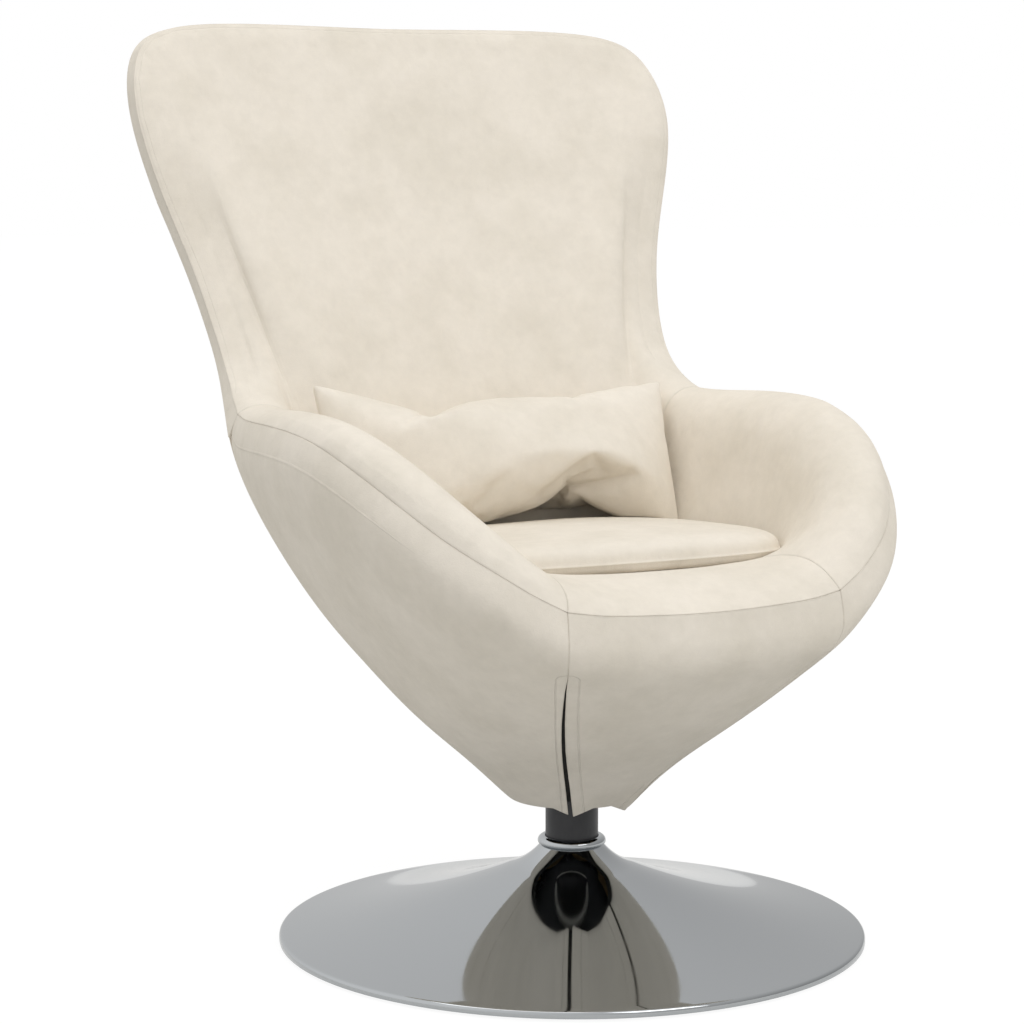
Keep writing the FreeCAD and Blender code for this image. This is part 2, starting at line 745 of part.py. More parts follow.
def pad(label, first, last):
    """Foam and its covering from the shell's inside to the seat, over the rim."""
    lines = list(range(first, last + 1))
    foot = BOARD_TOP + size("layer_gap")

    def outer(n):
        line = layer(n, PAD_OUT, SHELL_OUT)
        return [at_level(line, foot)] + line[BOARD_ROW + 1:]

    def inner(n):
        line = around(INSIDE, n)[::-1]
        return [deck_corner(n, size("deck_foot_inset"), foot)] + line

    keep(label, panel(lines, parted(lines, outer, seam), parted(lines, inner, seam)))


BACK_END = ALL_LINES - NOTCH_LINE
cover("front_cover_panel", -CORNER_LINE, CORNER_LINE)
cover("right_side_cover", CORNER_LINE, NOTCH_LINE)
cover("left_side_cover", -NOTCH_LINE, -CORNER_LINE)
cover("back_cover", NOTCH_LINE, BACK_END)
pad("front_lip_pad", -CORNER_LINE, CORNER_LINE)
pad("right_arm_pad", CORNER_LINE, NOTCH_LINE)
pad("left_arm_pad", -NOTCH_LINE, -CORNER_LINE)
pad("back_pad", NOTCH_LINE, BACK_END)


def edge_band():
    """The boxing strip round the back's edge, from the back cover to the rim."""
    lines = list(range(NOTCH_LINE, BACK_END + 1))
    sides = [parted(lines, lambda n, depth=depth: shortened(layer(n, depth)[EDGE_ROW:], size("seam_gap")),
                    seam) for depth in (0, COVER)]
    return panel(lines, *sides)


keep("edge_band", edge_band())


def deck_outline(height):
    """The seat deck's outline, a seam inside the pads round it; None is its sloping top."""
    inset = size("seam_gap") + (0 if height is None else size("deck_foot_inset"))
    return [deck_corner(n, inset, height) for n in ROUND]


keep("seat_deck_pad", board(deck_outline, BOARD_TOP + size("layer_gap"), None))


def section(start, spans):
    """The points of a closed section: each span runs on to a corner, as an arc that swells by its sag."""
    points = []
    for end, sag, way, runs in spans:
        if sag:
            points += Part.Arc(start, (start + end) * 0.5 + way * sag, end).discretize(runs + 1)[1:]
        else:
            points += [start + (end - start) * ((k + 1) / runs) for k in range(runs)]
        start = end
    return points


def lofted(sections):
    """The faceted solid through closed sections, with flat ends."""
    count = len(sections[0])
    points = [point for ring in sections for point in ring]
    triangles = []
    for n in range(len(sections) - 1):
        for k in range(count):
            a, b = n * count + k, n * count + (k + 1) % count
            c, d = b + count, a + count
            pair = ((a, b, c), (a, c, d)) if n < len(sections) // 2 else ((a, b, d), (b, c, d))
            triangles += pair
    for ring, turn in ((0, -1), (len(sections) - 1, 1)):
        middle = len(points)
        points.append(sum(sections[ring], V(0, 0, 0)) * (1 / count))
        triangles += [(middle, ring * count + k, ring * count + (k + 1) % count)[::turn]
                      for k in range(count)]
    return faceted(points, triangles)


def seat_cushion():
    """A loose crowned cushion on the sloping deck: sections across it, each a flat bottom,
    two rounded edges and a crowned top."""
    half_width, edge = size("cushion_half_width"), size("cushion_edge")
    front, rear = size("cushion_front"), size("cushion_rear")
    sections = []
    for share in mirrored_shares((0, 0.2, 0.4, 0.6, 0.77, 0.89, 0.96, 0.99)):
        plan = (1 - abs(share) ** DECK_SQUARENESS) ** (1 / DECK_SQUARENESS)
        x, height = share * half_width, edge * (0.45 + 0.55 * plan)
        soft, crown = height * 0.35, size("cushion_crown") * plan
        low_front, low_rear = V(x, -front * plan, 0), V(x, rear * plan, 0)
        top_front, top_rear = low_front + UP * height, low_rear + UP * height
        sections.append(section(low_rear, (
            (low_front, 0, UP, 3), (top_front, soft, V(0, -1, 0), 4),
            (top_rear, crown, UP, 8), (low_rear, soft, V(0, 1, 0), 4))))
    return lofted(sections)


def lumbar_pillow():
    """A loose knife-edge pillow that leans on the back: lens sections, thin and tall at its ends."""
    half_width, edge = size("pillow_half_width"), size("pillow_edge")
    sections = []
    for share in mirrored_shares((0, 0.2, 0.4, 0.58, 0.74, 0.87, 0.95, 1)):
        fullness = (1 - share * share) ** 0.6
        half_height = size("pillow_height") / 2 - size("pillow_draw_in") * (1 - share * share)
        half_height -= size("pillow_corner_draw") * share ** 8
        swell = (edge + (size("pillow_thickness") - edge) * fullness) / 2
        low = V(share * half_width, 0, -half_height)
        high = V(share * half_width, 0, half_height)
        forward = V(0, 1, 0)
        sections.append(section(low, ((high, swell, -forward, 10), (low, swell, forward, 10))))
    return lofted(sections)


def mirrored_shares(shares):
    return [-share for share in shares[:0:-1]] + list(shares)


tilt = FreeCAD.Rotation(V(1, 0, 0), -size("deck_tilt"))
keep("seat_cushion", seat_cushion(),
     FreeCAD.Placement(V(0, 0, deck_height(0) + size("cushion_rest_gap")), tilt))

pillow = lumbar_pillow()
lean = FreeCAD.Rotation(V(1, 0, 0), -size("pillow_lean"))
leaning = pillow.copy()
leaning.Placement = FreeCAD.Placement(V(0, 0, 0), lean)
cushion_top = deck_height(size("pillow_foot")) + size("cushion_edge") + size("cushion_crown")
pillow_lift = cushion_top + size("pillow_rest_gap") - leaning.optimalBoundingBox().ZMin
pillow_shift = size("pillow_foot") + size("pillow_height") / 2 * math.sin(math.radians(size("pillow_lean")))
keep("lumbar_pillow", pillow, FreeCAD.Placement(V(0, pillow_shift, pillow_lift), lean))

doc.recompute()
faults = []
for item in doc.Objects:
    if "Invalid" in item.State or "Error" in item.State:
        faults.append("%s is %s" % (item.Label, item.State))
for label, part in PARTS.items():
    if part.Shape.isNull() or not part.Shape.isValid():
        faults.append("%s has no valid shape" % label)
if plate.Shape.Volume >= solid_plate:
    faults.append("the plate's holes cut nothing")
if faults:
    raise SystemExit("; ".join(faults))
os.makedirs("parts", exist_ok=True)
for label, part in PARTS.items():
    part.Shape.exportStep("parts/%s.step" % label)
    print(label, round(part.Shape.Volume / 1000, 1), "cm3")
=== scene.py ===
import math
import bmesh
import bpy
from mathutils import Matrix, Vector, kdtree, noise
from mathutils.bvhtree import BVHTree


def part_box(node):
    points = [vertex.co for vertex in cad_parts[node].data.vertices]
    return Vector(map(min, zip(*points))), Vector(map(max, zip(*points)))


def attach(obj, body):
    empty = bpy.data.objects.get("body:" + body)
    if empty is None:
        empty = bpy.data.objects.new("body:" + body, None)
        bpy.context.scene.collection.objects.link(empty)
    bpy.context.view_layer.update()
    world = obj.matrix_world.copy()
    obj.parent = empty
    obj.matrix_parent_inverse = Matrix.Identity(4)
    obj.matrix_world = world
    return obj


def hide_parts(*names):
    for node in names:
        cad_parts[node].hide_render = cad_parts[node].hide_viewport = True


# The pod chair's looks: upholstery drawn over the frame's panels, two stuffed cushions,
# a polished spun foot and a satin black column.

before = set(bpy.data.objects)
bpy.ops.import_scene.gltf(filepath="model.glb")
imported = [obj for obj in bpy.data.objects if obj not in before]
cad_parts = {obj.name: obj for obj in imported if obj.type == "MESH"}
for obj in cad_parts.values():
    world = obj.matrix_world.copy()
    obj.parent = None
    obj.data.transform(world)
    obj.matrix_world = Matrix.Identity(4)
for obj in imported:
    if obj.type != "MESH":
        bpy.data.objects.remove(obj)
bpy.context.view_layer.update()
MM = 0.001


# Materials

def linear(code):
    """An sRGB hex value as a linear colour with alpha."""
    parts = [int(code[i:i + 2], 16) / 255 for i in (1, 3, 5)]
    return [p / 12.92 if p <= 0.04045 else ((p + 0.055) / 1.055) ** 2.4 for p in parts] + [1]


def new_material(name):
    material = bpy.data.materials.new(name)
    material.use_nodes = True
    material.node_tree.nodes.clear()
    return material


def add(material, kind, settings=None, **links):
    """Adds a node: settings are its own properties or unlinked sockets, links its linked sockets."""
    node = material.node_tree.nodes.new(kind)
    for name, value in (settings or {}).items():
        if isinstance(name, int) or name in node.inputs:
            node.inputs[name].default_value = value
        else:
            setattr(node, name, value)
    for name, source in links.items():
        material.node_tree.links.new(source, node.inputs[name.replace("_", " ")])
    return node


def ramp(material, source, stops):
    """Maps a factor through colours at positions."""
    node = add(material, "ShaderNodeValToRGB", Fac=source)
    while len(node.color_ramp.elements) < len(stops):
        node.color_ramp.elements.new(1)
    for element, (position, colour) in zip(node.color_ramp.elements, stops):
        element.position = position
        element.color = colour if isinstance(colour, list) else [colour] * 3 + [1]
    return node.outputs["Color"]


def output(material, shader):
    add(material, "ShaderNodeOutputMaterial", Surface=shader.outputs[0])
    return material


def mapped(material, scale=(1, 1, 1), turn=(0, 0, 0)):
    """Object coordinates in millimetres, stretched and turned."""
    coordinates = add(material, "ShaderNodeTexCoord")
    size = [1000 * s for s in scale]
    return add(material, "ShaderNodeMapping", {"Scale": size, "Rotation": turn},
               Vector=coordinates.outputs["Object"]).outputs["Vector"]


def patches(material, span, detail=3, rough=0.5, scale=(1, 1, 1), turn=(0, 0, 0)):
    """Soft noise whose patches are about span millimetres wide."""
    return add(material, "ShaderNodeTexNoise", {"Scale": 1 / span, "Detail": detail, "Roughness": rough},
               Vector=mapped(material, scale, turn)).outputs["Fac"]


def bumped(material, height, depth, below=None):
    """Raises the surface by a height, depth millimetres at most."""
    node = add(material, "ShaderNodeBump", {"Distance": depth * MM, "Strength": 1.0}, Height=height)
    if below is not None:
        material.node_tree.links.new(below, node.inputs["Normal"])
    return node.outputs["Normal"]


def line_at(material, distance, place, width):
    """1 on a line that runs a given distance from a seam, falling to 0 at its width, in mm."""
    away = add(material, "ShaderNodeMath", {"operation": "SUBTRACT", 1: place}, Value=distance)
    size = add(material, "ShaderNodeMath", {"operation": "ABSOLUTE"}, Value=away.outputs[0])
    fall = add(material, "ShaderNodeMapRange", {"From Min": 0.0, "From Max": width,
                                                "To Min": 1.0, "To Max": 0.0}, Value=size.outputs[0])
    return fall.outputs["Result"]


def suede_velvet(name, lit, shade):
    """Short-pile polyester velvet with a suede finish: soft clouds where the pile lies over,
    a fine nap, a pale bloom at the edges of a form, stitched seams that sink in,
    and painted shade that darkens the colour within a couple of millimetres of each seam."""
    material = new_material(name)
    clouds = ramp(material, patches(material, 85, 4, 0.6), ((0.36, linear(shade)), (0.62, linear(lit))))
    mottle = ramp(material, patches(material, 14, 5, 0.65), ((0.3, 0.95), (0.7, 1.0)))
    seam = add(material, "ShaderNodeAttribute", {"attribute_name": "seam_mm"}).outputs["Fac"]
    run = add(material, "ShaderNodeAttribute", {"attribute_name": "run_mm"}).outputs["Fac"]
    # Painted shade: the colour is darkened to 0.86 right at a seam, fading out by 1.6 mm from it, where
    # shade falls in the seam's groove.
    painted_seam_shade = ramp(material, add(material, "ShaderNodeMath", {"operation": "DIVIDE", 1: 10.0}, Value=seam
                                ).outputs[0], ((0.0, 0.86), (0.16, 0.99), (1.0, 1.0)))
    colour = add(material, "ShaderNodeMix", {"data_type": "RGBA", "blend_type": "MULTIPLY"})
    colour.inputs[0].default_value = 1.0
    material.node_tree.links.new(clouds, colour.inputs[6])
    material.node_tree.links.new(mottle, colour.inputs[7])
    # Multiplies the painted seam shade into the velvet's colour.
    colour_with_painted_seam_shade = add(material, "ShaderNodeMix", {"data_type": "RGBA", "blend_type": "MULTIPLY"})
    colour_with_painted_seam_shade.inputs[0].default_value = 1.0
    material.node_tree.links.new(colour.outputs[2], colour_with_painted_seam_shade.inputs[6])
    material.node_tree.links.new(painted_seam_shade, colour_with_painted_seam_shade.inputs[7])
    slit = add(material, "ShaderNodeAttribute", {"attribute_name": "slit_mm"}).outputs["Fac"]
    hem = line_at(material, slit, 11.0, 1.1)
    band = add(material, "ShaderNodeAttribute", {"attribute_name": "band_mm"}).outputs["Fac"]
    double = add(material, "ShaderNodeMath", {"operation": "MULTIPLY", 1: 0.4},
                 Value=line_at(material, band, 4.0, 0.9)).outputs[0]
    stitched = add(material, "ShaderNodeMath", {"operation": "MAXIMUM", 1: 0.0}, Value=hem)
    material.node_tree.links.new(double, stitched.inputs[1])
    sunk = add(material, "ShaderNodeMath", {"operation": "SUBTRACT", 0: 1.0})
    material.node_tree.links.new(stitched.outputs[0], sunk.inputs[1])
    stitches = bumped(material, sunk.outputs[0], 0.7)
    nap = bumped(material, patches(material, 1.6, 4, 0.7), 0.35, stitches)
    drape = bumped(material, patches(material, 60, 3, 0.55, (1, 1, 0.6), (0, 0.5, 0.3)), 5.0, nap)
    shader = add(material, "ShaderNodeBsdfPrincipled",
                 {"Roughness": 0.92, "Sheen Weight": 0.35, "Sheen Roughness": 0.45,
                  "Sheen Tint": linear("#FFF8EA"), "Specular IOR Level": 0.25},
                 Base_Color=colour_with_painted_seam_shade.outputs[2], Normal=drape)
    return output(material, shader)


def chromed_steel():
    """Spun mild steel, polished and chrome plated: a clear mirror with a faint patchy haze."""
    material = new_material("chromed_spun_steel")
    haze = ramp(material, patches(material, 40, 3), ((0.3, 0.03), (0.7, 0.07)))
    shader = add(material, "ShaderNodeBsdfPrincipled",
                 {"Base Color": linear("#B6B9BB"), "Metallic": 1.0}, Roughness=haze)
    return output(material, shader)


def black_column():
    """Steel tube with satin black powder coating: low even gloss, a fine orange peel."""
    material = new_material("satin_black_powder_coat")
    peel = bumped(material, patches(material, 1.2, 2), 0.03)
    shade = ramp(material, patches(material, 25, 3), ((0.3, linear("#28282A")), (0.7, linear("#343436"))))
    shader = add(material, "ShaderNodeBsdfPrincipled", {"Roughness": 0.42}, Base_Color=shade, Normal=peel)
    return output(material, shader)


def plain(name, light, dark, rough, span, metallic=0.0, depth=0.05):
    """A hidden part's finish: two close shades in patches and a matching grain."""
    material = new_material(name)
    shade = ramp(material, patches(material, span, 3), ((0.3, linear(dark)), (0.7, linear(light))))
    grain = bumped(material, patches(material, span / 8, 3), depth)
    shader = add(material, "ShaderNodeBsdfPrincipled", {"Roughness": rough, "Metallic": metallic},
                 Base_Color=shade, Normal=grain)
    return output(material, shader)


VELVET = suede_velvet("suede_velvet", "#EDE5D8", "#E5DDCF")
CHROME = chromed_steel()
SHELL = plain("moulded_fibre_shell", "#3A3936", "#2C2B29", 0.9, 10)
FINISHES = {
    "column_tube": black_column(),
    "floor_pad": plain("moulded_rubber", "#2E2E2E", "#232323", 0.8, 4),
    "ballast_plate": plain("painted_cast_iron", "#454547", "#38383A", 0.6, 3),
    "swivel_sleeve": plain("natural_nylon", "#E9E6DC", "#DEDACE", 0.5, 12),
    "swivel_spindle": plain("ground_steel", "#A2A4A8", "#8F9195", 0.3, 3, 1.0, 0.01),
    "retaining_clip": plain("spring_steel", "#6E7074", "#5C5E62", 0.4, 3, 1.0, 0.01),
    "mounting_plate": plain("black_painted_plate", "#303032", "#262628", 0.5, 6),
    "plate_screws": plain("zinc_plated_screw", "#B4B6BA", "#9C9EA2", 0.35, 2, 1.0, 0.01),
    "base_board": plain("birch_plywood", "#C9AD7F", "#B2925F", 0.7, 10),
    "seat_board": None,
}
FINISHES["seat_board"] = FINISHES["base_board"]
for node, material in FINISHES.items():
    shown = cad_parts[node]
    shown.data.materials.clear()
    shown.data.materials.append(material)
    for face in shown.data.polygons:
        face.material_index = 0


# Meshes

SEAM_TURN = 62
JOIN_TURN = 28
PANELS = ("front_cover_panel", "right_side_cover", "left_side_cover", "back_cover", "edge_band",
          "front_lip_pad", "right_arm_pad", "left_arm_pad", "back_pad", "seat_deck_pad")

def add_piece(name, mesh, material, body, nodes):
    """Puts a finished mesh in the scene for the CAD nodes that it stands for."""
    piece = bpy.data.objects.new(name, mesh)
    bpy.context.scene.collection.objects.link(piece)
    mesh.materials.clear()
    mesh.materials.append(material)
    for face in mesh.polygons:
        face.use_smooth = True
        face.material_index = 0
    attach(piece, body)
    if nodes:
        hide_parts(*nodes)
    return piece


def merged(node):
    """A node's triangles as one closed mesh of mostly four-sided faces."""
    bm = bmesh.new()
    bm.from_mesh(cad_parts[node].data)
    bmesh.ops.remove_doubles(bm, verts=bm.verts, dist=0.02 * MM)
    bmesh.ops.join_triangles(bm, faces=bm.faces, angle_face_threshold=math.radians(40),
                             angle_shape_threshold=math.radians(60))
    return bm


def surface_tree(mesh):
    return BVHTree.FromPolygons([v.co for v in mesh.vertices], [f.vertices for f in mesh.polygons])


SURFACES = {panel: surface_tree(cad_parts[panel].data) for panel in PANELS}


def seam_edges(bm, node):
    """The edges that are sewn: where the panel turns at a neighbour, or at a cover's free edge."""
    found = []
    for edge in bm.edges:
        if len(edge.link_faces) != 2:
            continue
        turn = math.degrees(edge.calc_face_angle())
        if turn < JOIN_TURN:
            continue
        middle = (edge.verts[0].co + edge.verts[1].co) / 2
        if not node.endswith("_pad"):
            sewn = turn > SEAM_TURN
        else:
            sewn = any(tree.find_nearest(middle, 2.2 * MM)[0] is not None
                       for panel, tree in SURFACES.items() if panel != node)
        if sewn:
            found.append(edge)
    return found


def subdivided(bm, levels, name):
    """The mesh after Catmull-Clark steps."""
    mesh = bpy.data.meshes.new(name)
    bm.to_mesh(mesh)
    bm.free()
    holder = bpy.data.objects.new(name + "_cage", mesh)
    bpy.context.scene.collection.objects.link(holder)
    step = holder.modifiers.new("smooth", "SUBSURF")
    step.levels = step.render_levels = levels
    result = bpy.data.meshes.new_from_object(holder.evaluated_get(bpy.context.evaluated_depsgraph_get()))
    bpy.data.objects.remove(holder)
    bpy.data.meshes.remove(mesh)
    result.name = name
    return result


def mark_seams(mesh, edges):
    """Stores each point's distance to the nearest seam line, and how far along the seam it is."""
    tree = kdtree.KDTree(len(edges))
    for i, (place, _) in enumerate(edges):
        tree.insert(place, i)
    tree.balance()
    seam = mesh.attributes.new("seam_mm", "FLOAT", "POINT")
    run = mesh.attributes.new("run_mm", "FLOAT", "POINT")
    for i, vertex in enumerate(mesh.vertices):
        _, nearest, distance = tree.find(vertex.co)
        seam.data[i].value = distance / MM
        run.data[i].value = edges[nearest][1]


def seam_points(bm, edges, step=1.5 * MM):
    """Points along edges, each with its run in millimetres from the edge's start."""
    points = []
    for edge in edges:
        a, b = (v.co.copy() for v in edge.verts)
        count = max(1, int((b - a).length / step))
        points += [(a.lerp(b, (k + 0.5) / count), (b - a).length * (k + 0.5) / count / MM)
                   for k in range(count)]
    return points


def soften(mesh, seams, passes):
    """Evens out a padded surface; each pass is how far from the seams it works, in mm, and how often."""
    tree = kdtree.KDTree(len(seams))
    for i, (place, _) in enumerate(seams):
        tree.insert(place, i)
    tree.balance()
    bm = bmesh.new()
    bm.from_mesh(mesh)
    distance = {v: tree.find(v.co)[2] / MM for v in bm.verts}
    for far, rounds in passes:
        free = [v for v in bm.verts if distance[v] > far]
        for _ in range(rounds):
            bmesh.ops.smooth_vert(bm, verts=free, factor=0.5, use_axis_x=True, use_axis_y=True,
                                  use_axis_z=True)
    bm.to_mesh(mesh)
    bm.free()


def moulded_shell():
    """The pod's shell, rounded over its whole surface as it comes from its mould."""
    bm = merged("pod_shell")
    edges = seam_edges(bm, "pod_shell")
    bmesh.ops.bevel(bm, geom=edges, affect="EDGES", offset=1.5 * MM, segments=2, profile=0.5, material=-1,
                    clamp_overlap=True)
    mesh = subdivided(bm, 2, "moulded_pod_shell")
    for vertex, normal in zip(mesh.vertices, [n.vector.copy() for n in mesh.vertex_normals]):
        vertex.co -= normal * 0.4 * MM
    return add_piece("moulded_pod_shell", mesh, SHELL, "pod", ["pod_shell"])


def drawn_over(node, name, fillet, levels=3, passes=(), swell=0.25 * MM):
    """Upholstery that follows one of the pod's panels: its edges rolled in at the seams."""
    bm = merged(node)
    edges = seam_edges(bm, node)
    points = seam_points(bm, edges)
    bmesh.ops.bevel(bm, geom=edges, affect="EDGES", offset=fillet, segments=2, profile=0.5, material=-1,
                    clamp_overlap=True)
    mesh = subdivided(bm, levels, name)
    soften(mesh, points, passes)
    for vertex, normal in zip(mesh.vertices, [n.vector.copy() for n in mesh.vertex_normals]):
        vertex.co += normal * swell
    mark_seams(mesh, points)
    piece = add_piece(name, mesh, VELVET, "pod", [node])
    mark_slit(mesh)
    mark_band(mesh, node)
    if node in ("front_cover_panel", "right_side_cover", "left_side_cover"):
        bow_slit(piece)
    return piece


SLIT_LOW, SLIT_HIGH, SLIT_BOW, SLIT_REACH = 147, 318, 6.5, 34
DROOP, DROOP_REACH, DROOP_SHARE = 8, 20, 0.16
SLIT_POINTS = [v.co.copy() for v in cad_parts["front_cover_panel"].data.vertices
               if v.co.z < SLIT_HIGH * MM + 1e-4 and abs(v.co.x) > 20 * MM
               and SURFACES["left_side_cover" if v.co.x < 0 else "right_side_cover"
                            ].find_nearest(v.co, 6 * MM)[0] is not None]


def slit_tree():
    """The two slits' edges as close points up each line."""
    line = []
    for side in (-1, 1):
        points = sorted((p for p in SLIT_POINTS if p.x * side > 0), key=lambda p: p.z)
        for a, b in zip(points, points[1:]):
            line += [a.lerp(b, k / 20) for k in range(20)]
    tree = kdtree.KDTree(len(line))
    for i, point in enumerate(line):
        tree.insert(point, i)
    tree.balance()
    return tree


SLITS = slit_tree()


def mark_band(mesh, node):
    """Keeps the distance from the seam for the topstitch that runs beside the back's edge band."""
    values = mesh.attributes.new("band_mm", "FLOAT", "POINT")
    seam = mesh.attributes["seam_mm"].data
    values = mesh.attributes["band_mm"]
    for i, vertex in enumerate(mesh.vertices):
        beside = node in ("back_pad", "edge_band") and vertex.co.z > 0.55
        values.data[i].value = seam[i].value if beside else 100


def mark_slit(mesh):
    """Stores each point's distance to the nearest slit, where the covers have stitched hems."""
    values = mesh.attributes.new("slit_mm", "FLOAT", "POINT")
    for i, vertex in enumerate(mesh.vertices):
        values.data[i].value = min(SLITS.find(vertex.co)[2] / MM, 100)


def bow_slit(piece):
    """Lets the covers' loose edges at the front corners hang: the slit bows, and its corners droop."""
    for vertex in piece.data.vertices:
        share = (vertex.co.z / MM - SLIT_LOW) / (SLIT_HIGH - SLIT_LOW)
        away = SLITS.find(vertex.co)[2] / MM
        if not -0.05 < share < 1:
            continue
        if away < SLIT_REACH:
            bow = SLIT_BOW * math.sin(math.pi * max(share, 0)) * (1 - away / SLIT_REACH)
            vertex.co.x += math.copysign(bow * MM, vertex.co.x)
        if away < DROOP_REACH and share < DROOP_SHARE:
            vertex.co.z -= DROOP * MM * (1 - away / DROOP_REACH) * (1 - share / DROOP_SHARE)


PASSES = {"front_lip_pad": ((14, 20),), "right_arm_pad": ((14, 30),),
          "left_arm_pad": ((14, 30),), "back_pad": ((14, 60), (26, 450)),
          "seat_deck_pad": ()}
FABRICS = {}
moulded_shell()
for node in ("front_cover_panel", "right_side_cover", "left_side_cover", "back_cover", "edge_band"):
    FABRICS[node] = drawn_over(node, node + "_fabric", 0.8 * MM)
for node, passes in PASSES.items():
    FABRICS[node] = drawn_over(node, node + "_fabric", 1.2 * MM, passes=passes)


# Loose cushions

def plain_surface(mesh):
    """A loose cushion's seams are in its shape, so its fabric is marked as far from any."""
    for label in ("seam_mm", "run_mm", "slit_mm", "band_mm"):
        values = mesh.attributes.new(label, "FLOAT", "POINT")
        values.data.foreach_set("value", [100.0] * len(mesh.vertices))


def kept_clear(mesh, pieces, gap):
    """Presses a soft mesh back wherever it comes into another piece."""
    for piece in pieces:
        tree = BVHTree.FromPolygons([v.co for v in piece.data.vertices],
                                    [face.vertices for face in piece.data.polygons])
        for vertex in mesh.vertices:
            place, normal, _, distance = tree.find_nearest(vertex.co, 0.06)
            if place is not None and (vertex.co - place).dot(normal) < gap:
                if distance < 0.055:
                    vertex.co = place + normal * gap


def rest_on(mesh, piece, gap):
    """Flattens a soft mesh where it is pressed down on the top of another piece."""
    tree = surface_tree(piece.data)
    for vertex in mesh.vertices:
        place = tree.ray_cast(Vector((vertex.co.x, vertex.co.y, 1)), Vector((0, 0, -1)))[0]
        if place is not None and vertex.co.z < place.z + gap:
            vertex.co.z = place.z + gap


def seat_cushion_form():
    """A thin boxed cushion: a flat underside, a soft edge with a welt round its middle, a crowned top.

    Its profile (share of its plan, height in mm) is turned once round and drawn out to its outline.
    """
    profile = ((0, 0), (0.5, 0), (0.86, 0), (0.93, 0.4), (0.965, 2), (0.985, 5.5), (0.993, 9.5),
               (0.999, 10.2), (1.001, 11), (0.999, 11.8), (0.993, 12.5), (0.99, 17), (0.98, 21.5),
               (0.958, 25.3), (0.92, 28.4), (0.86, 30.8), (0.74, 33), (0.52, 35.5), (0.25, 37.3), (0, 38))
    bm = bmesh.new()
    corners = [bm.verts.new((r, 0, z * MM)) for r, z in profile]
    edges = [bm.edges.new(pair) for pair in zip(corners, corners[1:])]
    bmesh.ops.spin(bm, geom=corners + edges, cent=(0, 0, 0), axis=(0, 0, 1), dvec=(0, 0, 0),
                   angle=2 * math.pi, steps=96, use_merge=True, use_duplicate=False)
    bmesh.ops.remove_doubles(bm, verts=bm.verts, dist=1e-5)
    low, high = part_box("seat_cushion")
    half_width = (high[0] - low[0]) / 2 + 1 * MM
    tilt = Matrix.Rotation(math.radians(-3), 3, "X")
    for vertex in bm.verts:
        r = math.hypot(vertex.co.x, vertex.co.y)
        if r > 1e-6:
            s, c = vertex.co.x / r, vertex.co.y / r
            square = 4.2 if c < 0 else 3.2
            reach = abs(low[1]) if c < 0 else high[1]
            span = ((abs(s) / half_width) ** square + (abs(c) / reach) ** square) ** (-1 / square)
            vertex.co.x, vertex.co.y = s * span * r, c * span * r
        slump = noise.noise(Vector((vertex.co.x * 9, vertex.co.y * 9, 3.7)))
        vertex.co.z += slump * 1.6 * MM * min(1, vertex.co.z / (20 * MM)) * (1 - 0.4 * r)
        vertex.co = tilt @ vertex.co + Vector((0, 0, SEAT_LEVEL))
    bmesh.ops.recalc_face_normals(bm, faces=bm.faces)
    return subdivided(bm, 1, "seat_cushion_fabric")


DECK_FRONT, DECK_REACH, DECK_TILT = 396 * MM, 160 * MM, math.radians(3)
SEAT_LEVEL = DECK_FRONT - DECK_REACH * math.tan(DECK_TILT) + 0.6 * MM


def sewn_pillow():
    """A knife-edge pillow as it is sewn: two flat panels joined round their edge, blown up as cloth."""
    width, height = 438 * MM, 188 * MM
    bm = bmesh.new()
    bmesh.ops.create_grid(bm, x_segments=86, y_segments=36, size=0.5)
    bmesh.ops.scale(bm, vec=(width, height, 1), verts=bm.verts)
    for vertex in bm.verts:
        fullness = 1 - (2 * vertex.co.x / width) ** 2
        vertex.co.y += (13 if vertex.co.y < 0 else 5) * MM * fullness * 2 * vertex.co.y / height
    bmesh.ops.solidify(bm, geom=bm.faces, thickness=6 * MM)
    bmesh.ops.recalc_face_normals(bm, faces=bm.faces)
    mesh = bpy.data.meshes.new("lumbar_pillow_panels")
    bm.to_mesh(mesh)
    bm.free()
    bag = bpy.data.objects.new("lumbar_pillow_bag", mesh)
    bpy.context.scene.collection.objects.link(bag)
    cloth = bag.modifiers.new("cloth", "CLOTH")
    settings = cloth.settings
    settings.quality = 8
    settings.mass = 0.15
    settings.tension_stiffness = settings.compression_stiffness = 30
    settings.shear_stiffness = 12
    settings.bending_stiffness = 0.08
    settings.use_pressure = True
    settings.uniform_pressure_force = 5.0
    settings.effector_weights.gravity = 0
    cloth.point_cache.frame_start = 1
    cloth.point_cache.frame_end = 24
    for step in range(1, 25):
        bpy.context.scene.frame_set(step)
    blown = bpy.data.meshes.new_from_object(bag.evaluated_get(bpy.context.evaluated_depsgraph_get()))
    bpy.context.scene.frame_set(1)
    bpy.data.objects.remove(bag)
    return blown


def lumbar_pillow_form():
    """The sewn pillow set on the seat and leaning on the back."""
    blown = sewn_pillow()
    size = [max(v.co[axis] for v in blown.vertices) - min(v.co[axis] for v in blown.vertices)
            for axis in range(3)]
    print("pillow size", [round(s / MM) for s in size])
    low, high = (Vector(corner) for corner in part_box("lumbar_pillow"))
    stand = Matrix.Rotation(math.radians(90 - 28), 3, "X")
    middle = (low + high) / 2 + Vector((0, -5, -8)) * MM
    bm = bmesh.new()
    bm.from_mesh(blown)
    for vertex in bm.verts:
        vertex.co = middle + stand @ vertex.co
    bmesh.ops.recalc_face_normals(bm, faces=bm.faces)
    return subdivided(bm, 1, "lumbar_pillow_fabric")


